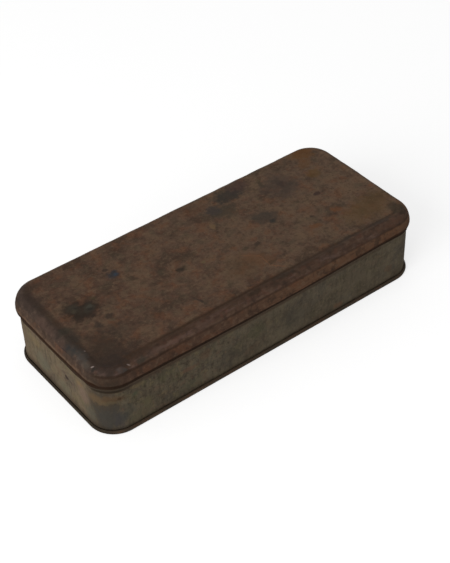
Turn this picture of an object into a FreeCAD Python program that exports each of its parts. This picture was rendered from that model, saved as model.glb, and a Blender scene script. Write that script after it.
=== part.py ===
"""A slip-lid tin box with rounded corners, shut.

Three tinplate pieces: the bottom with its rolled seam, the body wall with the stop bead
under the lid, and the pressed lid with its curled skirt, rolled shoulder and sunk panel.
The tin is shut, so the body is solid up to the underside of the lid.
Millimetres, +X along the tin, +Z up, origin at the middle of the face it stands on.
"""

import FreeCAD, Part
import math
import os

import Sketcher
from FreeCAD import Vector

# Driving dimensions. Heights are above the face that the tin stands on, and what stands
# proud or is inset is measured from the flat of the body wall.
SIZES = {
    "wall_length": 227.2,
    "wall_width": 96.0,
    "corner_radius": 15.4,
    # bottom and its seam
    "seam_height": 2.6,
    "seam_proud": 1.4,
    "seam_inset": 1.3,
    "seam_crown": 0.5,
    "seam_gap": 0.1,
    "bottom_recess": 1.6,
    "bottom_sheet": 0.6,
    "bottom_lap": 0.7,
    # body wall
    "bead_foot": 32.5,
    "bead_height": 2.7,
    "bead_proud": 0.7,
    "neck_inset": 0.8,
    "side_seam_width": 5.0,
    "side_seam_proud": 0.5,
    # lid
    "bead_to_lid_gap": 0.4,
    "lid_gap": 0.3,
    "curl_inset": 0.5,
    "curl_proud": 1.7,
    "curl_rise": 1.5,
    "skirt_height": 6.9,
    "skirt_bulge": 8.0,
    "step_proud": 0.55,
    "shoulder_inset": 3.4,
    "shoulder_rise": 3.65,
    "shoulder_bulge": 10.0,
    "ridge_width": 2.0,
    "ridge_bulge": 2.4,
    "panel_inset": 6.8,
    "panel_drop": 0.4,
    "panel_lap": 2.0,
    "lid_sheet": 0.8,
    "ceiling_inset": 3.9,
}

# Heights worked out from the sizes. In the shut lid each is taken from the one below.
BOTTOM_SEAT = "bottom_recess + bottom_sheet"
BEAD_TOP = "bead_foot + bead_height"
LID_EDGE = f"{BEAD_TOP} + bead_to_lid_gap"
LID_STEP = f"{LID_EDGE} + skirt_height"
LID_RIDGE = f"{LID_STEP} + shoulder_rise"
LID_PANEL = f"{LID_RIDGE} - panel_drop"
CEILING = f"{LID_PANEL} - lid_sheet"

document = FreeCAD.newDocument("TinBox")

sheet = document.addObject("Spreadsheet::Sheet", "Sizes")
for row, (name, size) in enumerate(SIZES.items(), start=1):
    sheet.set(f"A{row}", name)
    sheet.set(f"B{row}", str(size))
    sheet.setAlias(f"B{row}", name)
document.recompute()


def sized(expression):
    """The expression with each named size read from the sheet."""
    words = expression.replace("(", "( ").replace(")", " )").split()
    return " ".join(f"Sizes.{word}" if word in SIZES else word for word in words)


def new_body(label):
    body = document.addObject("PartDesign::Body", label)
    body.Label = label
    return body


def new_sketch(body, name, role, lift="0"):
    """A sketch on one of the body's own origin planes, lifted along the plane's normal."""
    plane = next(item for item in body.Origin.OriginFeatures if item.Role == role)
    sketch = body.newObject("Sketcher::SketchObject", name)
    sketch.AttachmentSupport = [(plane, "")]
    sketch.MapMode = "FlatFace"
    sketch.setExpression("AttachmentOffset.Base.z", sized(lift))
    document.recompute()
    return sketch


def bind(sketch, name, kind, *where, to):
    """Add a driving constraint, named, and bind it to an expression of the sheet's sizes."""
    size = float(sketch.evalExpression(sized(to)))
    index = sketch.addConstraint(Sketcher.Constraint(kind, *where, size))
    sketch.renameConstraint(index, name)
    sketch.setExpression(f"Constraints.{name}", sized(to))


def draw_plan(sketch, offset="0"):
    """The wall's rounded rectangle seen from above, moved outwards by offset."""
    half_x = float(sketch.evalExpression(sized("wall_length / 2 - corner_radius")))
    half_y = float(sketch.evalExpression(sized("wall_width / 2 - corner_radius")))
    radius = float(sketch.evalExpression(sized(f"corner_radius + {offset}")))
    centres = [(half_x, half_y), (-half_x, half_y), (-half_x, -half_y), (half_x, -half_y)]
    for turn, (x, y) in enumerate(centres):
        circle = Part.Circle(Vector(x, y, 0), Vector(0, 0, 1), radius)
        start = turn * math.pi / 2
        sketch.addGeometry(Part.ArcOfCircle(circle, start, start + math.pi / 2), False)
    for turn in range(4):
        ends = sketch.Geometry[turn].EndPoint, sketch.Geometry[(turn + 1) % 4].StartPoint
        side = sketch.addGeometry(Part.LineSegment(*ends), False)
        sketch.addConstraint(Sketcher.Constraint("Tangent", side, 1, turn, 2))
        sketch.addConstraint(Sketcher.Constraint("Tangent", side, 2, (turn + 1) % 4, 1))
        sketch.addConstraint(Sketcher.Constraint("Vertical" if turn % 2 else "Horizontal", side))
        if turn:
            sketch.addConstraint(Sketcher.Constraint("Equal", 0, turn))
    sketch.addConstraint(Sketcher.Constraint("Symmetric", 0, 3, 2, 3, -1, 1))
    bind(sketch, "radius", "Radius", 0, to=f"corner_radius + {offset}")
    bind(sketch, "span_along", "DistanceX", 1, 3, 0, 3, to="wall_length - 2 * corner_radius")
    bind(sketch, "span_across", "DistanceY", 3, 3, 0, 3, to="wall_width - 2 * corner_radius")


def crowned(height, proud):
    """The radius of an arc of that height that stands proud of its two ends."""
    return f"( {height} ^ 2 / 4 + {proud} ^ 2 ) / ( 2 * {proud} )"


def draw_section(sketch, corners):
    """A closed section at the tin's +X end, through the corners in turn.

    A corner is its name, how far it stands out from the wall, its height, and the radius of
    the arc to the next corner: 0 is a straight line, and a minus is an arc that turns
    clockwise.
    """
    places = []
    for _, out, height, _ in corners:
        x = float(sketch.evalExpression(sized(f"wall_length / 2 + {out}")))
        places.append(Vector(x, float(sketch.evalExpression(sized(height))), 0))
    for index, (_, _, _, radius) in enumerate(corners):
        start, end = places[index], places[(index + 1) % len(corners)]
        size = float(sketch.evalExpression(sized(radius)))
        if size:
            chord = end - start
            side = Vector(chord.y, -chord.x, 0).normalize()
            rise = abs(size) - math.sqrt(size * size - (chord.Length / 2) ** 2)
            middle = (start + end) * 0.5 + side * math.copysign(rise, size)
            sketch.addGeometry(Part.Arc(start, middle, end), False)
        else:
            sketch.addGeometry(Part.LineSegment(start, end), False)

    def ends(index):
        """The numbers of the curve's first and last points: an arc counts anticlockwise."""
        curve = sketch.Geometry[index % len(corners)]
        forwards = curve.StartPoint.distanceToPoint(places[index % len(corners)]) < 1e-6
        return (1, 2) if forwards else (2, 1)

    for index, (name, out, height, radius) in enumerate(corners):
        before = (index - 1) % len(corners)
        sketch.addConstraint(
            Sketcher.Constraint("Coincident", before, ends(before)[1], index, ends(index)[0])
        )
        bind(sketch, f"{name}_out", "DistanceX", -1, 1, index, ends(index)[0],
             to=f"wall_length / 2 + {out}")
        bind(sketch, f"{name}_up", "DistanceY", -1, 1, index, ends(index)[0], to=height)
        if float(sketch.evalExpression(sized(radius))):
            bind(sketch, f"{name}_radius", "Radius", index, to=f"abs( {radius} )")


def pad(body, name, offset, foot, height):
    """A solid rounded rectangle, offset from the wall, from the height foot upwards."""
    sketch = new_sketch(body, f"{name}Plan", "XY_Plane", foot)
    draw_plan(sketch, offset)
    feature = body.newObject("PartDesign::Pad", name)
    feature.Profile = sketch
    feature.setExpression("Length", sized(height))
    document.recompute()
    return feature


def sweep(body, name, corners):
    """The section carried round the wall's plan."""
    path = new_sketch(body, f"{name}Path", "XY_Plane")
    draw_plan(path)
    section = new_sketch(body, f"{name}Section", "XZ_Plane")
    draw_section(section, corners)
    document.recompute()
    feature = body.newObject("PartDesign::AdditivePipe", name)
    feature.Profile = section
    feature.Spine = (path, [f"Edge{index + 1}" for index in range(len(path.Shape.Edges))])
    document.recompute()
    return feature


def loft(body, name, levels):
    """Straight flanks through the wall's plan at each level: an offset and a height."""
    sketches = []
    for number, (offset, height) in enumerate(levels):
        sketch = new_sketch(body, f"{name}Plan{number}", "XY_Plane", height)
        draw_plan(sketch, offset)
        sketches.append(sketch)
    feature = body.newObject("PartDesign::AdditiveLoft", name)
    feature.Profile = sketches[0]
    feature.Sections = sketches[1:]
    feature.Ruled = True
    document.recompute()
    return feature


def draw_side_seam(sketch):
    """A strip at the middle of the back, rooted in the wall."""
    half = float(sketch.evalExpression(sized("side_seam_width / 2")))
    near = float(sketch.evalExpression(sized("wall_width / 2 - neck_inset")))
    far = float(sketch.evalExpression(sized("wall_width / 2 + side_seam_proud")))
    corners = [Vector(-half, near), Vector(half, near), Vector(half, far), Vector(-half, far)]
    for index in range(4):
        sketch.addGeometry(Part.LineSegment(corners[index], corners[(index + 1) % 4]), False)
    for index in range(4):
        after = (index + 1) % 4
        sketch.addConstraint(Sketcher.Constraint("Coincident", index, 2, after, 1))
        sketch.addConstraint(Sketcher.Constraint("Vertical" if index % 2 else "Horizontal", index))
    bind(sketch, "start", "DistanceX", 0, 1, -1, 1, to="side_seam_width / 2")
    bind(sketch, "width", "DistanceX", 0, 1, 0, 2, to="side_seam_width")
    bind(sketch, "root", "DistanceY", -1, 1, 0, 1, to="wall_width / 2 - neck_inset")
    bind(sketch, "depth", "DistanceY", 1, 1, 1, 2, to="neck_inset + side_seam_proud")


def build_bottom():
    """The bottom sheet, sunk inside the rolled seam that the tin stands on."""
    body = new_body("bottom")
    sweep(body, "Seam", [
        ("foot_inside", "0 - seam_inset", "0", "0"),
        ("foot_outside", "seam_proud - seam_crown", "0", crowned("seam_height", "seam_crown")),
        ("lip_outside", "seam_proud - seam_crown", "seam_height", "0"),
        ("lip_inside", "seam_gap", "seam_height", "0"),
        ("seat_outside", "seam_gap", BOTTOM_SEAT, "0"),
        ("seat_inside", "0 - seam_inset", BOTTOM_SEAT, "0"),
    ])
    pad(body, "Sheet", "bottom_lap - seam_inset", "bottom_recess", "bottom_sheet")
    return body


def build_wall():
    """The straight wall, its stop bead and side seam, and the neck that the lid slips over."""
    body = new_body("wall")
    pad(body, "Wall", "0", BOTTOM_SEAT, f"{BEAD_TOP} - ( {BOTTOM_SEAT} )")
    pad(body, "Neck", "0 - neck_inset", BEAD_TOP, f"{LID_STEP} - ( {BEAD_TOP} )")
    loft(body, "Crown", [
        ("0 - neck_inset", LID_STEP),
        ("0 - ceiling_inset - lid_gap", CEILING),
    ])

    sweep(body, "StopBead", [
        ("root_foot", "0 - neck_inset", "bead_foot", "0"),
        ("foot", "0", "bead_foot", crowned("bead_height", "bead_proud")),
        ("crown", "0", BEAD_TOP, "0"),
        ("root_top", "0 - neck_inset", BEAD_TOP, "0"),
    ])

    sketch = new_sketch(body, "SideSeamPlan", "XY_Plane", "seam_height")
    draw_side_seam(sketch)
    seam = body.newObject("PartDesign::Pad", "SideSeam")
    seam.Profile = sketch
    seam.setExpression("Length", sized("bead_foot + bead_height / 2 - seam_height"))
    document.recompute()
    return body


def build_lid():
    """The pressed lid: a curled skirt, a step, the rolled shoulder and the sunk panel."""
    body = new_body("lid")
    sweep(body, "SkirtAndShoulder", [
        ("edge_inside", "lid_gap - neck_inset", LID_EDGE, "0"),
        ("edge_outside", "curl_inset", LID_EDGE, "curl_rise"),
        ("curl", "curl_proud", f"{LID_EDGE} + curl_rise", "skirt_bulge"),
        ("step", "step_proud", LID_STEP, "shoulder_bulge"),
        ("ridge_outside", "0 - shoulder_inset", LID_RIDGE, "ridge_bulge"),
        ("ridge_inside", "0 - shoulder_inset - ridge_width", LID_RIDGE, "0"),
        ("crease", "0 - panel_inset", LID_PANEL, "0"),
        ("panel_edge", "0 - panel_inset - panel_lap", LID_PANEL, "0"),
        ("ceiling_lap", "0 - panel_inset - panel_lap", CEILING, "0"),
        ("ceiling_edge", "0 - ceiling_inset", CEILING, "0"),
        ("skirt_top", "lid_gap - neck_inset", LID_STEP, "0"),
    ])
    pad(body, "Panel", "0 - panel_inset - panel_lap / 2", CEILING, "lid_sheet")
    return body


bodies = [build_bottom(), build_wall(), build_lid()]
document.recompute()

for item in document.Objects:
    if "Invalid" in item.State or "Error" in item.State:
        raise RuntimeError(f"{item.Name} did not build: {item.State}")
for body in bodies:
    if body.Shape.isNull() or not body.Shape.isValid() or len(body.Shape.Solids) != 1:
        raise RuntimeError(f"{body.Label} is not one valid solid")

os.makedirs("parts", exist_ok=True)
for body in bodies:
    body.Shape.exportStep(f"parts/{body.Label}.step")
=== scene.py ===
import math

import bmesh
import bpy
from mathutils import Matrix, Vector


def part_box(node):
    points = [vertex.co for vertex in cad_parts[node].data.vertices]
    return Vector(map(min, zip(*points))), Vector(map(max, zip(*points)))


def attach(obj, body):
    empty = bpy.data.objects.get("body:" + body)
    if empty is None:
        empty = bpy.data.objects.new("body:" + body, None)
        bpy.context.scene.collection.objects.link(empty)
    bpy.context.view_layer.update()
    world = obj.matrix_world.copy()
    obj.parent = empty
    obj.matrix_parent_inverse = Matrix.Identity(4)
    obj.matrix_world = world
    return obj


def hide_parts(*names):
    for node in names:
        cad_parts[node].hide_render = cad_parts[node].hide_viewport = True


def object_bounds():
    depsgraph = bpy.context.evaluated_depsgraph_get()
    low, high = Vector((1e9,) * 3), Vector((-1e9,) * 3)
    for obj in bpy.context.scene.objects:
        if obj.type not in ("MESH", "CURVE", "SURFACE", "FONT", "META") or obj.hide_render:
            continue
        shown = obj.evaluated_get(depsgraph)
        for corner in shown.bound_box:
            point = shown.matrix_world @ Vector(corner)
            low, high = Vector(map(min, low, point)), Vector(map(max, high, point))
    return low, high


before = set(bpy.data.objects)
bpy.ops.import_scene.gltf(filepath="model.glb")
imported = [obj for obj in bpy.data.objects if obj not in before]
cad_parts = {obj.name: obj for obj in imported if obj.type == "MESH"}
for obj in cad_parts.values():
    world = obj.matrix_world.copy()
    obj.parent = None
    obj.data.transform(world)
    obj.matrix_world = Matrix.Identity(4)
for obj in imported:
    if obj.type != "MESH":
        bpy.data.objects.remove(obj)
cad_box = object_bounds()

# The table and the light: a white table top, an even white surround, and one broad soft lamp
# low on the left, so that the left end of the tin is the brightest and the long front the
# darkest. The table shows white to the eye and keeps the tin's soft shadow.

SURROUND = 0.46
LAMP_WATTS = 16.0
LAMP_SIDE = 1.1
LAMP_FROM = Vector((-1.35, -0.40, 0.72))
TABLE_WIDTH = 6
TABLE_WHITE = (0.52, 0.52, 0.52, 1)
TABLE_GLOW = 0.66
PURE_WHITE = (1, 1, 1, 1)


class Value:
    """An output socket in a material's node tree. Arithmetic on it adds Math nodes."""

    def __init__(self, tree, socket=None):
        self.tree = tree
        self.socket = socket

    def add(self, kind, sockets=None, output=0, **settings):
        """Add a node: its settings first, then the values and links of its sockets."""
        node = self.tree.nodes.new(kind)
        for name, setting in settings.items():
            setattr(node, name, setting)
        for key, value in (sockets or {}).items():
            if isinstance(value, Value):
                self.tree.links.new(value.socket, node.inputs[key])
            else:
                node.inputs[key].default_value = value
        return Value(self.tree, node.outputs[output] if node.outputs else None)

    def math(self, operation, first, second=0.0):
        return self.add("ShaderNodeMath", {0: first, 1: second}, operation=operation)

    def __add__(self, other):
        return self.math("ADD", self, other)

    def __radd__(self, other):
        return self.math("ADD", other, self)

    def __sub__(self, other):
        return self.math("SUBTRACT", self, other)

    def __rsub__(self, other):
        return self.math("SUBTRACT", other, self)

    def __mul__(self, other):
        return self.math("MULTIPLY", self, other)

    def __rmul__(self, other):
        return self.math("MULTIPLY", other, self)

    def __abs__(self):
        return self.math("ABSOLUTE", self)


def new_tree(block):
    """A bare node tree for a material or a world, as a Value to add nodes to."""
    block.use_nodes = True
    block.node_tree.nodes.clear()
    return Value(block.node_tree)


bpy.context.scene.view_settings.view_transform = "Standard"

world = bpy.data.worlds.new("Surround")
bpy.context.scene.world = world
tree = new_tree(world)
seen = tree.add("ShaderNodeLightPath", output="Is Camera Ray")
shine = tree.add("ShaderNodeLightPath", output="Is Glossy Ray")
even = tree.add("ShaderNodeBackground", {"Color": PURE_WHITE, "Strength": SURROUND})
white = tree.add("ShaderNodeBackground", {"Color": PURE_WHITE, "Strength": 1.0})
surface = tree.add("ShaderNodeMixShader", {0: tree.math("MAXIMUM", seen, shine), 1: even,
                                           2: white})
tree.add("ShaderNodeOutputWorld", {"Surface": surface})

bpy.ops.object.select_all(action="DESELECT")
bpy.ops.mesh.primitive_plane_add(size=TABLE_WIDTH, location=(0, 0, cad_box[0][2]))
table = bpy.context.object
table.name = "table_top"
material = bpy.data.materials.new("TableWhite")
tree = new_tree(material)
seen = tree.add("ShaderNodeLightPath", output="Is Camera Ray")
plain = tree.add("ShaderNodeBsdfDiffuse", {"Color": TABLE_WHITE})
glow = tree.add("ShaderNodeEmission", {"Color": PURE_WHITE, "Strength": seen * TABLE_GLOW})
surface = tree.add("ShaderNodeAddShader", {0: plain, 1: glow})
tree.add("ShaderNodeOutputMaterial", {"Surface": surface})
table.data.materials.append(material)

lamp = bpy.data.objects.new("window_lamp", bpy.data.lights.new("window_lamp", "AREA"))
lamp.data.shape = "SQUARE"
lamp.data.size = LAMP_SIDE
lamp.data.energy = LAMP_WATTS
lamp.location = LAMP_FROM
lamp.rotation_euler = LAMP_FROM.to_track_quat("Z", "Y").to_euler()
bpy.context.scene.collection.objects.link(lamp)


# The camera stands off the tin's near left corner and looks down on it, tilted a little to the
# side. Lengths are written in millimetres from here on, and MM makes them the frame's metres.

MM = 0.001

CAMERA_AT = Vector((-351.26, -487.39, 535.28)) * MM
CAMERA_RIGHT = Vector((0.7909, -0.6111, -0.0325))
CAMERA_UP = Vector((0.4177, 0.5003, 0.7584))
CAMERA_LENS = 85.53
CAMERA_SENSOR = 36

camera = bpy.data.objects.new("camera", bpy.data.cameras.new("camera"))
camera.data.lens = CAMERA_LENS
camera.data.sensor_width = CAMERA_SENSOR
across = CAMERA_RIGHT.normalized()
back = across.cross(CAMERA_UP).normalized()
turn = Matrix((across, back.cross(across), back)).transposed()
camera.matrix_world = Matrix.Translation(CAMERA_AT) @ turn.to_4x4()
bpy.context.scene.collection.objects.link(camera)
bpy.context.scene.camera = camera


# The bottom: a sheet of tinplate sunk inside the rolled seam that joins it to the wall. The
# tin stands on the seam, a flattened roll of four layers pressed tight round the foot.

# the wall's plain face is what PROUD and OUT are measured from, here and in the other pieces
WALL_LOW, WALL_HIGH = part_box("wall")
BEAD_PROUD = 0.7 * MM
CORNER_RADIUS = 15.4 * MM
WALL_X = WALL_HIGH.x - BEAD_PROUD
WALL_Y = -WALL_LOW.y - BEAD_PROUD

SEAM_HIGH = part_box("bottom")[1]
SEAM_PROUD = SEAM_HIGH.x - WALL_X
SHEET_OUT = -1.9

# the mesh: each piece starts as a thin slab, and its rim and flat sheets are cut into cells
SLAB = 0.2
CORNER_STEPS = 14
CELL = 2.2 * MM
END_CORNERS = 40
HAIR = 0.001 * MM


def pick(test, kind="faces"):
    """Select the open mesh's faces, edges or vertices that pass the test, and only those."""
    bpy.ops.mesh.select_all(action="DESELECT")
    mesh = bmesh.from_edit_mesh(bpy.context.object.data)
    for item in getattr(mesh, kind):
        if test(item):
            item.select_set(True)
    bmesh.update_edit_mesh(bpy.context.object.data)


def plate(name, out, height):
    """A thin slab in the wall's rounded rectangle, out beyond it, its rim cut into cells."""
    bpy.ops.object.select_all(action="DESELECT")
    bpy.ops.mesh.primitive_plane_add(size=1, location=(0, 0, height))
    piece = bpy.context.object
    piece.name = name
    piece.data.name = name
    bpy.ops.object.mode_set(mode="EDIT")
    bpy.ops.mesh.select_mode(type="VERT")
    bpy.ops.mesh.select_all(action="SELECT")
    bpy.ops.transform.resize(value=(2 * (WALL_X + out), 2 * (WALL_Y + out), 1))
    bpy.ops.mesh.bevel(offset=CORNER_RADIUS + out, segments=CORNER_STEPS, affect="VERTICES")
    bpy.ops.mesh.select_mode(type="EDGE")
    for side, half in ((0, WALL_X), (1, WALL_Y)):
        straight = 2 * (half - CORNER_RADIUS)
        pick(lambda edge: abs((edge.verts[0].co - edge.verts[1].co)[side]) > straight - CELL,
             "edges")
        bpy.ops.mesh.subdivide(number_cuts=round(straight / CELL) - 1)
    bpy.ops.mesh.select_mode(type="FACE")
    bpy.ops.mesh.select_all(action="SELECT")
    bpy.ops.mesh.dissolve_faces()
    bpy.ops.mesh.select_all(action="SELECT")
    bpy.ops.mesh.extrude_region_move(TRANSFORM_OT_translate={"value": (0, 0, SLAB * MM)})
    bpy.ops.object.mode_set(mode="OBJECT")
    bpy.ops.object.transform_apply(location=True, rotation=True, scale=True)
    bpy.ops.object.mode_set(mode="EDIT")
    bpy.ops.mesh.select_all(action="SELECT")
    bpy.ops.mesh.normals_make_consistent(inside=False)
    return piece


def follow(section, faces_up):
    """Carry the selected face along a section of (out, height) points in millimetres."""
    for (out, height), (next_out, next_height) in zip(section, section[1:]):
        rise = (next_height - height) * MM
        if abs(out - next_out) * MM < HAIR:
            bpy.ops.mesh.extrude_region_move(TRANSFORM_OT_translate={"value": (0, 0, rise)})
        else:
            bpy.ops.mesh.inset(thickness=(out - next_out) * MM, depth=rise if faces_up else -rise)


def choose_end(upper):
    """Select the slab's upper or lower end, the only faces with so many corners."""
    pick(lambda face: len(face.verts) > END_CORNERS and (face.normal.z > 0) == upper)


def grid(out):
    """Cut the selected face, out beyond the wall, into cells that meet its rim's own."""
    mesh = bmesh.from_edit_mesh(bpy.context.object.data)
    height = next(face for face in mesh.faces if face.select).calc_center_median().z
    for side, half in ((0, WALL_X), (1, WALL_Y)):
        straight = half - CORNER_RADIUS
        cell = 2 * straight / round(2 * straight / CELL)
        beyond = int((half + out - straight) / cell - 0.1)
        for line in range(-beyond, round(2 * straight / cell) + beyond + 1):
            place = Vector((0, 0, height))
            place[side] = line * cell - straight
            pick(lambda face: abs(face.calc_center_median().z - height) < HAIR
                 and abs(face.normal.z) > 0.99)
            bpy.ops.mesh.bisect(plane_co=place, plane_no=(side == 0, side == 1, 0))


def paint(red, green, blue):
    """A colour from its screen values, 0 to 255, by the standard screen curve."""
    return tuple((value / 255 / 12.92 if value <= 10 else ((value / 255 + 0.055) / 1.055) ** 2.4)
                 for value in (red, green, blue)) + (1.0,)


def new_surface(name):
    """A bare material, and the place on the tin in millimetres to make its patterns from."""
    material = bpy.data.materials.new(name)
    tree = new_tree(material)
    place = tree.add("ShaderNodeTexCoord", output="Object")
    place = tree.add("ShaderNodeVectorMath", {0: place, 3: 1 / MM}, operation="SCALE")
    return material, place


def mix(first, second, share):
    """One colour over another by its share."""
    tree = next(item for item in (first, second, share) if isinstance(item, Value))
    return tree.add("ShaderNodeMix", {0: share, 6: first, 7: second}, output=2, data_type="RGBA")


def between(value, low, high, smooth=True):
    """A mask that goes from 0 to 1 as the value goes from low to high, or back if low is more."""
    return value.add("ShaderNodeMapRange", {0: value, 1: low, 2: high},
                     interpolation_type="SMOOTHSTEP" if smooth else "LINEAR")


def cloud(place, size, detail=3.0, stretch=(1, 1, 1), shift=0.0, rough=0.55):
    """Soft noise from 0 to 1 with features of that size in millimetres."""
    scale = tuple(1 / (size * factor) for factor in stretch)
    at = place.add("ShaderNodeMapping", {0: place, 1: (shift, shift, shift), 3: scale})
    return place.add("ShaderNodeTexNoise", {"Vector": at, "Scale": 1.0, "Detail": detail,
                                            "Roughness": rough})


def axis(place, name):
    """One of a place's three numbers, by its letter."""
    return place.add("ShaderNodeSeparateXYZ", {0: place}, output="XYZ".index(name))


def outwards(place):
    """How far a place stands out from the plain wall, seen from above, in millimetres."""
    past_x = abs(axis(place, "X")) - (WALL_X - CORNER_RADIUS) / MM
    past_y = abs(axis(place, "Y")) - (WALL_Y - CORNER_RADIUS) / MM
    corner_x = place.math("MAXIMUM", past_x, 0.0)
    corner_y = place.math("MAXIMUM", past_y, 0.0)
    corner = place.math("SQRT", corner_x * corner_x + corner_y * corner_y)
    flat = place.math("MINIMUM", place.math("MAXIMUM", past_x, past_y), 0.0)
    return corner + flat - CORNER_RADIUS / MM


def coat(material, colour, rough, height, depth, shine):
    """Finish a material with its colour, roughness and shine, and a bump of that depth."""
    bump = colour.add("ShaderNodeBump", {"Height": height, "Distance": depth * MM,
                                         "Strength": 1.0})
    surface = colour.add("ShaderNodeBsdfPrincipled", {
        "Base Color": colour, "Roughness": rough, "Specular IOR Level": shine,
        "Normal": bump})
    colour.add("ShaderNodeOutputMaterial", {"Surface": surface})
    return material


bottom = plate("bottom_and_seam", SEAM_PROUD, 1.2 * MM)
seam = SEAM_PROUD / MM
choose_end(True)
follow([(seam, 1.4), (seam - 0.04, 1.65), (seam - 0.14, 1.95), (seam - 0.32, 2.3),
        (seam - 0.6, 2.55), (seam - 0.85, 2.6), (0.35, 2.5), (0.1, 2.3)], True)
choose_end(False)
follow([(seam, 1.2), (seam - 0.04, 0.95), (seam - 0.14, 0.6), (seam - 0.32, 0.3),
        (seam - 0.6, 0.06), (seam - 0.85, 0.0), (0.0, 0.0), (-0.9, 0.0), (-1.15, 0.08),
        (-1.3, 0.3), (-1.3, 0.9), (-1.3, 1.3), (-1.5, 1.55), (SHEET_OUT, 1.6)], False)
grid(SHEET_OUT * MM)
bpy.ops.object.mode_set(mode="OBJECT")
bpy.ops.object.shade_smooth()

material, place = new_surface("SeamTinplate")
height = axis(place, "Z")
away = outwards(place)
patch = cloud(place, 14)
grain = cloud(place, 1.1, shift=5)
colour = mix(paint(76, 60, 45), paint(61, 53, 43), between(patch, 0.35, 0.65))
colour = mix(colour, paint(88, 60, 40), between(cloud(place, 7, shift=9), 0.52, 0.68) * 0.6)
colour = mix(colour, paint(40, 32, 25), between(grain, 0.5, 0.72) * 0.5)
# painted shade along the top of the seam, in the angle where it meets the wall
colour = mix(colour, paint(54, 42, 31), between(height, 1.7, 2.4) * 0.8)
left_end = between(axis(place, "X"), -104, -112)
colour = mix(colour, paint(38, 30, 21), left_end * 0.85)
speck = cloud(place, 3.5, shift=33)
colour = mix(colour, paint(52, 44, 30), left_end * between(speck, 0.48, 0.62) * 0.7)

# the sheet inside the seam is cleaner, with patches of rust and of bare grey tin
sheet = between(away, -1.2, -1.8)
colour = mix(colour, mix(paint(70, 58, 46), paint(86, 72, 56), between(patch, 0.4, 0.6)), sheet)
stain = cloud(place, 22, detail=6, shift=17, rough=0.65)
colour = mix(colour, paint(52, 42, 34), sheet * between(stain, 0.48, 0.36) * 0.7)
colour = mix(colour, paint(92, 62, 42), sheet * between(stain, 0.54, 0.66) * 0.6)
fleck = cloud(place, 4, detail=5, shift=23, rough=0.65)
colour = mix(colour, paint(78, 74, 66), sheet * between(fleck, 0.54, 0.66) * 0.5)
colour = mix(colour, paint(44, 36, 29), sheet * between(fleck, 0.45, 0.34) * 0.6)
colour = mix(colour, paint(44, 36, 29), between(away, -3.6, -1.4) * sheet * 0.5)
bottom.data.materials.append(coat(material, colour, 0.62 + 0.2 * grain, grain, 0.12, 0.18))
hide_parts("bottom")
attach(bottom, "root")


# The body wall: one strip of tinplate bent round the rounded rectangle and hooked together in
# a flat seam at the middle of the back. A stop bead is rolled in under the lid, and above it
# the neck that the lid slips over is drawn in a little.

WALL_FOOT = 2.4
WALL_ROWS = 15
ROW_HEIGHT = 2.0
BEAD_FOOT = 32.5
BEAD_HEIGHT = 2.7
BEAD_MIDDLE = BEAD_FOOT + BEAD_HEIGHT / 2
NECK_OUT = -0.8
NECK_TOP = 42.0
SIDE_SEAM_INNER = 2.3
SIDE_SEAM_OUTER = 2.7
SIDE_SEAM_PROUD = 0.5
FRONT_BULGE = 0.18

wall = plate("body_wall", BEAD_PROUD, (BEAD_MIDDLE - SLAB / 2) * MM)
bead = BEAD_PROUD / MM
choose_end(True)
follow([(bead, BEAD_MIDDLE + 0.1), (bead - 0.06, BEAD_MIDDLE + 0.5),
        (bead - 0.26, BEAD_MIDDLE + 0.95), (0.1, BEAD_MIDDLE + 1.3), (-0.3, BEAD_MIDDLE + 1.45),
        (-0.7, BEAD_MIDDLE + 1.65), (NECK_OUT, BEAD_MIDDLE + 2.0), (NECK_OUT, NECK_TOP - 4.0),
        (NECK_OUT, NECK_TOP)], True)
choose_end(False)
rows = [(0.0, BEAD_FOOT - 0.5 - row * ROW_HEIGHT) for row in range(WALL_ROWS)]
follow([(bead, BEAD_MIDDLE - 0.1), (bead - 0.06, BEAD_MIDDLE - 0.5),
        (bead - 0.26, BEAD_MIDDLE - 0.95), (0.1, BEAD_MIDDLE - 1.35), *rows, (0.0, WALL_FOOT)],
       False)


def pull(near, push, reach, part, close=1.6):
    """Push the vertices close to a place, and less and less those around it in reach.

    Only vertices that pass the part test move, and None in a place is anywhere on that axis.
    """
    bpy.ops.mesh.select_mode(type="VERT")
    pick(lambda vertex: not part(vertex.co / MM), "verts")
    bpy.ops.mesh.hide()
    pick(lambda vertex: not vertex.hide
         and all(abs(vertex.co[side] / MM - near[side]) < close for side in (0, 1, 2)
                 if near[side] is not None), "verts")
    bpy.ops.transform.translate(value=Vector(push) * MM, use_proportional_edit=True,
                                proportional_edit_falloff="SMOOTH", proportional_size=reach * MM)
    bpy.ops.mesh.reveal(select=False)


def finish_sheet(piece, waves):
    """Refine the mesh, give the sheet its waves and dimples, and apply them.

    A wave is its size across and its height.
    """
    bpy.ops.object.select_all(action="DESELECT")
    bpy.context.view_layer.objects.active = piece
    piece.select_set(True)
    finer = piece.modifiers.new("finer", "SUBSURF")
    finer.subdivision_type = "SIMPLE"
    finer.levels = finer.render_levels = 1
    for number, (across, height) in enumerate(waves):
        texture = bpy.data.textures.new(f"{piece.name}_wave{number}", "CLOUDS")
        texture.noise_scale = across * MM
        texture.noise_depth = 1
        wave = piece.modifiers.new(f"wave{number}", "DISPLACE")
        wave.texture = texture
        wave.texture_coords = "LOCAL"
        wave.strength = height * MM
        wave.mid_level = 0.5
    for modifier in list(piece.modifiers):
        bpy.ops.object.modifier_apply(modifier=modifier.name)
    bpy.ops.object.shade_smooth()


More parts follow.
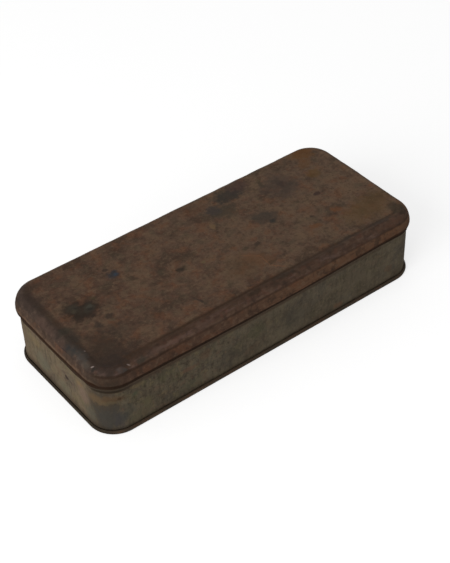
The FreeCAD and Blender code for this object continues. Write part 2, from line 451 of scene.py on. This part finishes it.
def stirred(place, size, far):
    """The place pushed about by up to far, in swirls of that size, to loosen marks' edges."""
    at = place.add("ShaderNodeVectorMath", {0: place, 3: 1 / size}, operation="SCALE")
    noise = place.add("ShaderNodeTexNoise", {"Vector": at, "Scale": 1.0, "Detail": 4.0}, output=1)
    push = place.add("ShaderNodeVectorMath", {0: noise, 1: (0.5, 0.5, 0.5)}, operation="SUBTRACT")
    push = place.add("ShaderNodeVectorMath", {0: push, 3: 2 * far}, operation="SCALE")
    return place.add("ShaderNodeVectorMath", {0: place, 1: push})


def mark(place, colour, at, size, turn, tint, strength, torn):
    """A stain or a painted glint, an oval of that half length and width with a torn rim, over the
    colour.
    """
    reach = [2 * half for half in size]
    inside = place.add("ShaderNodeMapping", {0: place, 1: at, 2: turn, 3: reach},
                       vector_type="TEXTURE")
    near = place.add("ShaderNodeTexGradient", {0: inside}, output=1, gradient_type="SPHERICAL")
    share = place.add("ShaderNodeMapRange", {0: near - torn, 1: 0.25, 2: 0.75, 4: strength},
                      interpolation_type="SMOOTHSTEP")
    return mix(colour, paint(*tint), share)


# the hooked side seam stands a little proud up the middle of the back
for side in (-SIDE_SEAM_OUTER, -SIDE_SEAM_INNER, SIDE_SEAM_INNER, SIDE_SEAM_OUTER):
    pick(lambda face: face.normal.y > 0.9 and face.calc_center_median().z < BEAD_FOOT * MM)
    bpy.ops.mesh.bisect(plane_co=(side * MM, 0, 0), plane_no=(1, 0, 0))
bpy.ops.mesh.select_mode(type="VERT")
pick(lambda vertex: vertex.co.y > 0 and abs(vertex.co.x) < (SIDE_SEAM_INNER + 0.1) * MM
     and (WALL_FOOT + 0.1) * MM < vertex.co.z < BEAD_FOOT * MM, "verts")
bpy.ops.transform.translate(value=(0, SIDE_SEAM_PROUD * MM, 0))

# the long front bulges a little, most in its upper middle, as each pull starts higher up
for low in (3, 9, 15, 21):
    pull((0, None, None), (0, -FRONT_BULGE, 0), 90,
         lambda co: co.y < -46 and low < co.z < BEAD_MIDDLE + 1.6 and abs(co.x) < 97)
bpy.ops.object.mode_set(mode="OBJECT")
finish_sheet(wall, ((36, 0.45), (11, 0.2), (4, 0.08)))

material, place = new_surface("WallTinplate")
height = axis(place, "Z")
along = axis(place, "X")
loose = stirred(stirred(place, 8, 2.5), 2.5, 0.9)
wear = cloud(place, 13, detail=6, stretch=(1, 1, 0.7), rough=0.62)
patch = cloud(place, 18, shift=21)
tint = cloud(place, 7, detail=4, shift=11)
flecks = cloud(place, 3.4, detail=4, stretch=(1, 1, 1.4), shift=4, rough=0.6)
freckles = cloud(place, 2.4, shift=41)
grain = cloud(place, 1.7, detail=2, shift=5)
upright = cloud(place, 2.2, detail=3, stretch=(1, 1, 4), shift=7)
torn = 0.9 * (cloud(place, 2.8, detail=4, stretch=(1, 1, 1.5), shift=27, rough=0.65) - 0.5)
left_end = between(along, -111.8, -113.4)
lively = 0.45 + 0.55 * between(along, 20, -70)
colour = mix(paint(80, 71, 58), paint(100, 90, 74), between(wear, 0.38, 0.62, smooth=False))
# painted light: the left end, which faces the lamp, is painted paler
colour = mix(colour, paint(114, 98, 77), left_end * 0.65)
colour = mix(colour, paint(92, 85, 62), between(tint, 0.53, 0.66) * lively * 0.5)
colour = mix(colour, paint(102, 82, 66), between(tint, 0.47, 0.34) * lively * 0.5)
colour = mix(colour, paint(80, 74, 66), between(patch, 0.52, 0.66) * 0.4)
colour = mix(colour, paint(112, 99, 74), between(flecks, 0.54, 0.67) * lively * 0.65)
dirty = lively * (1 - 0.6 * left_end)
colour = mix(colour, paint(58, 48, 38), between(flecks, 0.45, 0.32) * dirty * 0.65)
colour = mix(colour, paint(52, 44, 35), between(grain, 0.55, 0.72) * dirty * 0.45)
colour = mix(colour, paint(112, 100, 80), between(grain, 0.44, 0.3) * 0.4)
colour = mix(colour, paint(104, 80, 66), between(freckles, 0.57, 0.69) * lively * 0.5)
colour = mix(colour, paint(64, 56, 46), between(upright, 0.53, 0.68) * (0.2 + 0.2 * lively))
colour = mix(colour, paint(106, 95, 76), between(upright, 0.46, 0.33) * 0.35)

# stains, each with its place, half sizes, colour and strength
for spot, half, shade, strength in (
        ((-112, -43, 16), (9, 12, 26), (62, 54, 45), 0.8),
        ((-109, -44, 12), (8, 9, 8), (62, 61, 57), 0.6),
        ((-104, -48, 9), (5, 4, 6), (66, 62, 62), 0.5),
        ((-99, -48, 14), (4, 4, 6), (70, 70, 62), 0.4),
        ((-113, -39, 25), (4, 6, 3), (108, 86, 60), 0.5),
        ((-107, -46, 26), (8, 5, 2.6), (88, 68, 47), 0.65),
        ((-103.4, -47, 25.7), (1.4, 2, 1.1), (62, 46, 32), 0.8),
        ((-108, -45, 23), (5, 4, 1.2), (98, 84, 60), 0.4),
        ((-92.5, -48, 29.5), (4, 3, 1.4), (116, 100, 74), 0.55),
        ((-94, -48, 24.5), (1.8, 3, 1.6), (72, 80, 60), 0.5),
        ((-92, -48, 7.5), (7, 3, 4), (94, 88, 66), 0.35),
        ((-86, -48, 13), (4, 3, 4), (100, 92, 68), 0.35),
        ((-72, -48, 26), (8, 3, 4), (92, 88, 66), 0.3),
        ((-56, -48, 8), (7, 3, 4), (92, 90, 68), 0.3),
        ((-58, -48, 21), (6, 3, 1.4), (108, 80, 62), 0.5),
        ((-47, -48, 24.5), (3.5, 3, 3.6), (98, 75, 58), 0.45),
        ((-30, -48, 12), (9, 3, 6), (72, 66, 58), 0.45),
        ((-12, -48, 22), (8, 3, 4), (88, 86, 64), 0.3),
        ((18, -48, 16), (10, 3, 7), (72, 68, 60), 0.35),
        ((51, -48, 5.5), (3, 3, 2.2), (106, 78, 58), 0.5),
        ((66, -48, 20), (9, 3, 6), (90, 80, 66), 0.4),
        ((91.5, -48, 12), (2.6, 3, 2.4), (98, 78, 60), 0.45),
        ((-113.6, -10.4, 19.8), (3, 1.4, 1.9), (48, 38, 34), 0.9),
        ((-113.6, -14.5, 19.6), (3, 1.0, 1.0), (76, 62, 54), 0.7),
        ((-113.6, -7, 21.5), (3, 2.2, 1.2), (84, 70, 60), 0.5),
        ((-113.6, 22, 24), (3, 5, 3), (122, 104, 74), 0.4),
        ((-113.6, -24, 26), (3, 3.5, 2.0), (128, 104, 68), 0.45),
        ((-113.6, 17, 12), (3, 7, 6), (100, 98, 82), 0.5),
        ((-113.6, -6, 8), (3, 6, 5), (98, 96, 80), 0.45),
        ((-113.6, -27, 20), (3, 5, 5), (118, 96, 84), 0.45),
        ((-113.6, -32, 9), (3, 5, 6), (92, 88, 74), 0.5)):
    colour = mark(loose, colour, spot, half, (0, 0, 0), shade, strength, torn)

# dark lines down the two edges of the side seam
behind = between(axis(place, "Y"), 40, 46)
edges = between(abs(abs(along) - SIDE_SEAM_OUTER + 0.3 * (flecks - 0.5)), 0.7, 0.1)
colour = mix(colour, paint(46, 38, 30), edges * behind * 0.6)

# painted shade in the angle over the foot's seam, darker from higher up on the left end; painted
# shadow on and under the bead, darkest at the near corner; above the bead's middle the tin is
# dark rust, which shows in the gap at the lid, painted further down as shadow under the lid
colour = mix(colour, paint(50, 42, 33), between(height, 5.5, 2.8) * 0.45)
colour = mix(colour, paint(66, 54, 43), between(height, 8.5, 3.5) * left_end * 0.55)
# painted shadow of the lid and bead along the front, on the bead and the wall just below it,
# darker at the near corner
front = between(axis(place, "Y"), -40, -46)
near_corner = between(along, -92, -106) * between(axis(place, "Y"), -30, -41)
high = between(height, BEAD_FOOT - 2.6, BEAD_FOOT - 0.6)
band = high * front * between(along, 92, 78)
colour = mix(colour, paint(80, 65, 52), band * (0.8 - 0.25 * between(along, 20, 60)))
colour = mix(colour, paint(54, 46, 35), high * near_corner * 0.65)
# a dark line of painted shade at the bead's foot, strongest at the near corner
under = between(abs(height - BEAD_FOOT + 0.9 + 0.5 * (flecks - 0.5)), 1.3, 0.4)
colour = mix(colour, paint(44, 35, 26), under * (0.1 + 0.8 * near_corner))
# dark rust above the bead's middle, painted further down on the far left and along the front as
# shadow under the lid
far_left = between(along, -107, -112) * between(axis(place, "Y"), -43, -18)
bulging = front * between(abs(along + 10), 95, 30)
gap = height + 0.6 * (flecks - 0.5) + 3.7 * far_left + 0.4 * bulging
rust_and_shade = mix(paint(42, 28, 18), paint(40, 24, 12), far_left)
colour = mix(colour, rust_and_shade, between(gap, BEAD_MIDDLE, BEAD_MIDDLE + 0.6) * 0.94)
wall.data.materials.append(coat(material, colour, 0.56 + 0.25 * grain, grain + 0.8 * flecks, 0.2,
                                0.08))
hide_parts("wall")
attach(wall, "root")


# The lid: one sheet of tinplate pressed to a rolled shoulder round a slightly sunk panel. Its
# skirt steps out below the shoulder and ends in a small curled edge, which stops short of the
# bead. It only rests on the neck.

SKIRT_HEIGHT = 6.9
SKIRT_PROUD = 1.75
SHOULDER_HEIGHT = 3.65
SHOULDER_RADIUS = 8.5
RIDGE_RADIUS = 3.6
CREASE_IN = 6.9
PANEL_SUNK = 0.4
PANEL_OUT = -8.4
SHEET = 0.8

# heights above the table, from the skirt's curled edge up to the panel
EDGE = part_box("lid")[0].z / MM
STEP = EDGE + SKIRT_HEIGHT
RIDGE = STEP + SHOULDER_HEIGHT
PANEL = RIDGE - PANEL_SUNK
INSIDE = PANEL - SHEET

# marks on top are placed at this level, and the larger ones reach right through the lid
TOP_LEVEL = 46
THROUGH = 60
CRACK_WIDE = 0.38
GLINT_WIDE = 0.36


def arc(start, end, radius, steps):
    """The points after start of an arc to end, bulging to the right of the way there."""
    start, end = Vector(start), Vector(end)
    chord = end - start
    right = Vector((chord.y, -chord.x)).normalized()
    rise = math.sqrt(radius * radius - chord.length_squared / 4)
    centre = (start + end) / 2 - right * rise
    first = math.atan2(*(start - centre).yx)
    sweep = 2 * math.asin(chord.length / 2 / radius)
    return [centre + radius * Vector((math.cos(first + sweep * step / steps),
                                      math.sin(first + sweep * step / steps)))
            for step in range(1, steps + 1)]


lid = plate("slip_lid", SKIRT_PROUD * MM, (EDGE + 1.7) * MM)
choose_end(True)
follow([(SKIRT_PROUD, EDGE + 1.9), (1.7, EDGE + 2.6), (1.58, EDGE + 3.4), (1.42, EDGE + 4.2),
        (1.22, EDGE + 5.0), (0.98, EDGE + 5.8), (0.72, STEP - 0.45), (0.58, STEP - 0.1),
        (0.42, STEP + 0.15), *arc((0.42, STEP + 0.15), (-3.4, RIDGE), SHOULDER_RADIUS, 9),
        *arc((-3.4, RIDGE), (-5.0, RIDGE - 0.04), RIDGE_RADIUS, 5), (-5.7, RIDGE - 0.17),
        (-6.4, PANEL + 0.05), (-7.1, PANEL - 0.03), (-7.8, PANEL), (PANEL_OUT, PANEL)], True)
grid(PANEL_OUT * MM)
choose_end(False)
follow([(SKIRT_PROUD, EDGE + 1.7), (1.74, EDGE + 1.1), (1.68, EDGE + 0.7), (1.55, EDGE + 0.38),
        (1.32, EDGE + 0.14), (1.0, EDGE + 0.02), (0.6, EDGE), (0.1, EDGE + 0.1),
        (-0.3, EDGE + 0.35), (-0.5, EDGE + 0.9), (-0.5, STEP), (-3.9, INSIDE), (-8.2, INSIDE)],
       False)

# the skirt of the long front is sprung outwards in the middle, and a little on the left end
for top, spring in ((STEP - 1.0, 0.25), (EDGE + 4.6, 0.3), (EDGE + 3.0, 0.4), (EDGE + 1.8, 0.35)):
    pull((0, None, None), (0, -spring, 0), 96,
         lambda co: co.y < -48 and EDGE - 0.1 < co.z < top and abs(co.x) < 98)
    pull((None, 0, None), (-0.4 * spring, 0, 0), 34,
         lambda co: co.x < -113 and EDGE - 0.1 < co.z < top and abs(co.y) < 34)

# its edge sits a little low at the left end and a little high at the right
for side, push in ((-115, -0.3), (115, 0.55)):
    pull((side, None, None), (0, 0, push), 100, lambda co: co.z < EDGE + 3)

# the rolled shoulder is knocked flat in a few places, most at the near left corner
for near, push, reach in (((-103, -39, None), (0.1, 0.1, -0.35), 16),
                          ((-110, -35, None), (0.45, 0.2, -0.4), 4.5),
                          ((-108, -24, None), (0.35, 0.0, -0.35), 4.0),
                          ((-95, -46, None), (0.0, 0.35, -0.4), 4.5),
                          ((-80, -45, None), (0.0, 0.1, -0.2), 10),
                          ((-55, -46, None), (0.0, 0.2, -0.2), 7),
                          ((33, -44.5, None), (0.0, 0.1, -0.25), 9)):
    pull(near, push, reach, lambda co: co.z > STEP + 0.5, close=1.5)
bpy.ops.object.mode_set(mode="OBJECT")
finish_sheet(lid, ((30, 0.34), (9, 0.22), (3.5, 0.1)))

material, place = new_surface("LidTinplate")
height = axis(place, "Z")
along = axis(place, "X")
across = axis(place, "Y")
away = outwards(place)
loose = stirred(stirred(place, 9, 2.8), 2.5, 1.0)
broad = cloud(place, 45, detail=3)
wear = cloud(place, 16, detail=6, shift=3, rough=0.6)
patch = cloud(place, 6.5, detail=4, shift=13, rough=0.58)
tint = cloud(place, 9, detail=4, shift=11, rough=0.55)
hue = cloud(place, 4, detail=3, shift=31)
grain = cloud(place, 1.6, detail=2, shift=5)
scuffs = cloud(place, 2.6, detail=3, stretch=(1.25, 1, 1), shift=8, rough=0.55)
torn = 0.9 * (cloud(place, 2.8, detail=4, shift=27, rough=0.65) - 0.5)
colour = mix(paint(84, 64, 52), paint(93, 74, 60), between(along + 70 * (broad - 0.5), -95, 60))
colour = mix(colour, paint(100, 80, 62), between(wear, 0.49, 0.64) * 0.65)
colour = mix(colour, paint(57, 44, 35), between(wear, 0.51, 0.36) * 0.6)
colour = mix(colour, paint(98, 78, 61), between(patch, 0.51, 0.68) * 0.4)
colour = mix(colour, paint(60, 47, 38), between(patch, 0.49, 0.32) * 0.4)
colour = mix(colour, paint(100, 66, 46), between(tint, 0.51, 0.67) * 0.5)
colour = mix(colour, paint(72, 63, 50), between(tint, 0.47, 0.33) * 0.45)
colour = mix(colour, paint(96, 65, 50), between(hue, 0.53, 0.68) * 0.3)
colour = mix(colour, paint(80, 71, 54), between(hue, 0.46, 0.3) * 0.25)
colour = mix(colour, paint(104, 84, 66), between(scuffs, 0.53, 0.69) * 0.45)
colour = mix(colour, paint(54, 42, 34), between(scuffs, 0.47, 0.31) * 0.35)
colour = mix(colour, paint(48, 38, 31), between(grain, 0.55, 0.72) * 0.35)
colour = mix(colour, paint(108, 87, 68), between(grain, 0.43, 0.28) * 0.35)

# stains on the panel, each with its place, half sizes, turn in degrees, colour and strength
for x, y, long, wide, degrees, shade, strength in (
        (-101, -36, 17, 13, 25, (48, 40, 34), 0.7), (-97, -22, 10, 9, 40, (58, 46, 37), 0.5),
        (-94.0, 8.6, 6.8, 5.4, 52, (43, 35, 29), 0.85),
        (-87.0, 3.2, 6.8, 5.4, 52, (43, 35, 29), 0.85),
        (-92.6, 3.4, 6.4, 4.8, 52, (44, 36, 29), 0.85),
        (-87.2, 11.0, 2.4, 1.4, 52, (88, 62, 48), 0.6),
        (-93.8, 9.2, 3.6, 2.8, 52, (62, 58, 49), 0.5),
        (-86.6, 4.0, 3.6, 2.8, 52, (62, 58, 49), 0.5),
        (-91.0, 5.0, 3.0, 2.4, 52, (58, 50, 41), 0.4),
        (-95.4, 7.0, 1.6, 1.2, 0, (70, 62, 50), 0.5),
        (-85.4, 5.4, 1.8, 1.0, 30, (72, 70, 62), 0.5),
        (-86.4, 3.2, 1.3, 1.0, 0, (38, 33, 30), 0.6),
        (-92.6, 8.4, 1.2, 1.0, 0, (44, 38, 33), 0.6),
        (-60, 19.5, 3.6, 3.2, 0, (43, 46, 50), 0.85),
        (-59, 18.6, 1.6, 1.4, 0, (54, 66, 78), 0.6), (-62, 25.5, 1.3, 1.1, 0, (48, 38, 34), 0.7),
        (-53, 9, 3.0, 1.6, -50, (52, 42, 34), 0.6), (-80, 9.7, 1.7, 1.4, 0, (56, 50, 34), 0.6),
        (-81.6, -8.3, 1.8, 2.4, 0, (50, 42, 36), 0.75),
        (-82, -11.5, 1.4, 1.0, 0, (88, 76, 60), 0.6),
        (-89.8, -10.1, 2.2, 3.0, 0, (50, 42, 37), 0.75),
        (-91, -15, 1.8, 4.0, 0, (54, 45, 39), 0.5), (-84, -20, 5.0, 7.0, -30, (56, 47, 40), 0.4),
        (-36, -30, 0.9, 4.2, 12, (48, 42, 37), 0.7), (-28, -1, 2.6, 2.2, 0, (44, 38, 31), 0.85),
        (20, -12, 2.0, 1.4, 0, (50, 43, 36), 0.7), (12.4, -10.6, 1.6, 1.2, 0, (58, 50, 38), 0.5),
        (-5, -19, 1.1, 1.0, 0, (54, 47, 40), 0.6), (9.6, 17.4, 1.5, 2.6, 0, (108, 86, 62), 0.7),
        (-14, -5, 1.3, 1.1, 0, (100, 86, 62), 0.6), (23, 26, 9.5, 6.5, -20, (58, 52, 43), 0.7),
        (19, 30, 4.5, 4.0, 0, (60, 54, 52), 0.6), (35, 36, 10, 5.6, -10, (47, 45, 41), 0.8),
        (46, 40, 8, 5.0, -10, (58, 46, 44), 0.6), (39, 5.5, 8.5, 5.5, -30, (57, 52, 46), 0.7),
        (40, -0.8, 2.2, 1.8, 0, (44, 43, 40), 0.7), (16, -30, 3.5, 1.4, 0, (50, 40, 31), 0.6),
        (77.7, 2.6, 2.0, 1.6, 35, (56, 42, 38), 0.8),
        (60.5, -11.5, 1.1, 1.0, 0, (50, 42, 35), 0.8),
        (57, -20, 3.8, 1.8, -30, (98, 66, 44), 0.7),
        (77, -15.5, 3.4, 2.6, 0, (100, 66, 44), 0.75), (97, 41, 8, 5, -20, (94, 64, 37), 0.75),
        (92, 32, 6, 4, 30, (92, 63, 38), 0.5), (89.5, 20, 5, 4, 0, (90, 67, 38), 0.6),
        (58.7, 33.5, 1.6, 4.5, -15, (60, 53, 40), 0.7), (66, 23, 12, 12, 0, (66, 56, 50), 0.6),
        (67, 24.5, 1.8, 3.6, -15, (58, 47, 41), 0.6), (93, -26, 18, 9, 10, (88, 67, 42), 0.6),
        (12, 37, 7, 3, 0, (84, 58, 42), 0.4), (2, -22, 10, 10, 0, (86, 67, 48), 0.4),
        (12, -23, 9, 5, -38, (98, 68, 47), 0.5)):
    colour = mark(loose, colour, (x, y, TOP_LEVEL), (long, wide, THROUGH),
                  (0, 0, math.radians(degrees)), shade, strength, torn)

# a bright crack in the lacquer wanders towards the long front
for x, y, long, degrees in ((9.4, -16.4, 3.6, -43), (13.4, -21, 2.6, -52), (14.2, -27, 4.2, 78),
                            (16.2, -34, 4.4, -47)):
    colour = mark(loose, colour, (x, y, TOP_LEVEL), (long, CRACK_WIDE, THROUGH),
                  (0, 0, math.radians(degrees)), (120, 83, 60), 0.5, torn)

# the crease round the panel is darker, widest along the front, and the rolled shoulder is rubbed
# grey on the left and scratched along the front
front = between(across, -35, -41)
left = between(along, -98, -106)
back = between(across, 36, 42)
right_half = between(along, 10, 60)
sides = left.math("MAXIMUM", front, left)
shoulder = between(away, -6.0, -3.5)
colour = mix(colour, paint(72, 54, 44), shoulder * front * 0.8)
colour = mix(colour, paint(63, 52, 46), shoulder * left * (1 - 0.6 * front) * 0.85)
colour = mix(colour, paint(94, 76, 65), shoulder * sides * between(scuffs, 0.52, 0.66) * 0.45)
colour = mix(colour, paint(86, 57, 46), shoulder * front * between(hue, 0.5, 0.66) * 0.4)
rubbed = cloud(place, 2.4, detail=3, stretch=(5, 1, 1), shift=37)
colour = mix(colour, paint(104, 83, 76), shoulder * front * between(rubbed, 0.52, 0.66) * 0.4)
colour = mix(colour, paint(54, 41, 35), shoulder * front * between(rubbed, 0.47, 0.34) * 0.5)
colour = mix(colour, paint(50, 41, 36), shoulder * sides * between(patch, 0.49, 0.34) * 0.4)
colour = mix(colour, paint(46, 38, 33), shoulder * sides * between(scuffs, 0.47, 0.33) * 0.4)
band = between(away + 2.2 * (patch - 0.5), -9.6, -7.2) * between(away, -1.4, -5.8)
colour = mix(colour, paint(54, 38, 27), band * front * (0.65 - 0.3 * right_half))
colour = mix(colour, paint(52, 42, 35), band * left * (1 - front) * 0.6)
line = between(abs(away + CREASE_IN + 1.4 * (patch - 0.5)), 1.3, 0.2)
line = line * (0.08 + (0.45 - 0.15 * right_half) * front * between(along, -85, -60)) * (1 - back)
colour = mix(colour, paint(46, 32, 23), line)

# stains and rubbed places on the shoulder, each with its place, half sizes, colour and strength
for spot, half, shade, strength in (
        ((-102, -41, 46), (10, 6, 4), (50, 41, 36), 0.7),
        ((-111.5, -17, 45), (3.4, 4.4, 3), (50, 49, 46), 0.6),
        ((-110.6, -19, 45.4), (1.6, 1.8, 2), (44, 46, 46), 0.5),
        ((-111.4, -14.4, 45), (1.4, 1.6, 2), (46, 44, 44), 0.5),
        ((-107.8, -4, 46), (3.6, 3.2, 3), (54, 50, 42), 0.6),
        ((-106.6, -11, 46), (3.6, 3.6, 3), (52, 46, 40), 0.6),
        ((-114.4, -13, 42.6), (2, 3, 1.2), (46, 38, 40), 0.7),
        ((-110, -25, 45), (3, 4, 3), (66, 64, 60), 0.55),
        ((-112, -31, 44), (2.4, 3, 2.4), (76, 70, 62), 0.5),
        ((-112, 10, 44), (2.5, 9, 3), (78, 60, 52), 0.5),
        ((-108, 30, 45.5), (5, 8, 3), (56, 45, 40), 0.5),
        ((-111, -37, 45), (2.6, 1.2, 2), (42, 38, 34), 0.8),
        ((-113, -39.5, 43.6), (1.6, 1.4, 1), (44, 38, 32), 0.6),
        ((-112.6, -41.5, 44), (1.5, 1.6, 1.2), (112, 98, 76), 0.6),
        ((-110.5, -44.5, 43.5), (2.2, 1.4, 1), (60, 64, 50), 0.5),
        ((-101, -46.4, 45), (4, 1.2, 2), (80, 70, 66), 0.6),
        ((-97, -47, 44.5), (3, 1, 1.2), (62, 62, 58), 0.6),
        ((-88, -46.8, 45), (4, 1.6, 2), (60, 58, 50), 0.5),
        ((-78, -46.5, 45), (6, 1.8, 2), (84, 68, 60), 0.45),
        ((-64, -46.0, 45.5), (5, 1.5, 2), (96, 72, 60), 0.5),
        ((-44, -46.5, 45), (7, 1.8, 2), (90, 70, 60), 0.5),
        ((-111, -44, 38.5), (11, 9, 4), (45, 37, 30), 0.75),
        ((-8, -44.5, 46), (5, 1.5, 2), (46, 37, 28), 0.6),
        ((14, -43, 46), (8, 2, 2), (46, 39, 32), 0.6),
        ((40, -42, 46), (14, 3, 2), (52, 41, 34), 0.5),
        ((66, -41.5, 46), (9, 1.6, 2), (48, 42, 37), 0.6),
        ((88, -41.8, 46), (9, 1.8, 2), (50, 43, 38), 0.6),
        ((105, -38.5, 46), (5, 5, 3), (54, 46, 36), 0.75),
        ((111, -36, 44.5), (2.4, 9, 2.4), (98, 70, 50), 0.6),
        ((104, -46, 44), (6, 2, 2), (78, 58, 46), 0.5),
        ((92, -47.2, 44.5), (8, 1.5, 2), (78, 56, 44), 0.5)):
    colour = mark(loose, colour, spot, half, (0, 0, 0), shade, strength, torn)

# three painted glints, pale spots of bare tin on the knocked corner painted as highlights and
# turned to lie level across the camera's view
for x, y, long, strength in ((-110.4, -35.3, 0.9, 0.95), (-107.1, -23.1, 0.5, 0.7),
                             (-94.5, -45.8, 0.9, 0.6)):
    colour = mark(place, colour, (x, y, TOP_LEVEL), (long, GLINT_WIDE, 4),
                  (0, 0, math.radians(-38)), (136, 122, 115), strength, 0.6 * torn)

# the skirt has rusted redder, is paler low on the left end, and is dirtiest at the near corner;
# a painted highlight lies on it at the right front corner
skirt = between(height, STEP + 0.3, STEP - 0.3)
left_face = between(along, -112, -114.2)
low = between(height, STEP - 2.0, STEP - 4.5)
high = between(height, STEP - 4.0, STEP - 1.0)
far_corner = between(along, 110, 114.5) * between(across, -30, -38)
near_corner = between(along, -95, -107) * between(across, -31, -42)
redder = mix(paint(80, 60, 48), paint(97, 71, 53), between(along, -50, 50))
colour = mix(colour, redder, skirt * 0.85)
colour = mix(colour, paint(105, 86, 68), skirt * left_face * low * 0.8)
colour = mix(colour, paint(70, 57, 48), skirt * left_face * high * 0.8)
colour = mix(colour, paint(96, 64, 46), skirt * between(tint, 0.5, 0.64) * 0.45)
colour = mix(colour, paint(58, 45, 37), skirt * between(patch, 0.5, 0.36) * 0.6)
colour = mix(colour, paint(100, 80, 64), skirt * between(scuffs, 0.53, 0.67) * 0.5)
colour = mix(colour, paint(52, 41, 34), skirt * between(scuffs, 0.46, 0.33) * 0.45)
# painted highlight on the skirt at the right front corner
colour = mix(colour, paint(112, 84, 62), skirt * far_corner * 0.7)
colour = mix(colour, paint(44, 39, 32), skirt * near_corner * 0.62)

# the step holds a dark line with a painted highlight line above it, and the edge is painted dark
# where it curls under: rust, with painted shade for the shadow under the lid's edge
step_line = between(abs(height - STEP - 0.1), 1.0, 0.1) * (1 - 0.8 * left_face)
step_line = step_line * (0.45 + 0.3 * front * between(along, -55, -80))
colour = mix(colour, paint(48, 34, 25), step_line)
# a broken painted highlight along the shoulder just above the step, on the front
painted_highlight_line = between(abs(height - STEP - 1.1), 0.8, 0.1) * front * between(abs(along + 40), 52, 40)
colour = mix(colour, paint(94, 74, 60), painted_highlight_line * between(scuffs, 0.4, 0.56) * 0.5)
# rust and painted shade along the curled edge, reaching higher on the left end
dark_edge = height + 0.5 * (patch - 0.5) - 0.4 * right_half - 1.2 * left_face
dark_edge = dark_edge - 0.3 * front * between(along, -60, -85) - 0.5 * between(along, 70, 100)
rust_and_shade = mix(mix(paint(42, 28, 18), paint(41, 24, 12), left_face), paint(56, 35, 23), right_half)
colour = mix(colour, rust_and_shade, between(dark_edge, EDGE + 1.8, EDGE + 0.9) * 0.94)
lid.data.materials.append(coat(material, colour, 0.54 + 0.25 * grain, grain + 0.8 * scuffs, 0.16,
                               0.055))
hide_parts("lid")
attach(lid, "root")
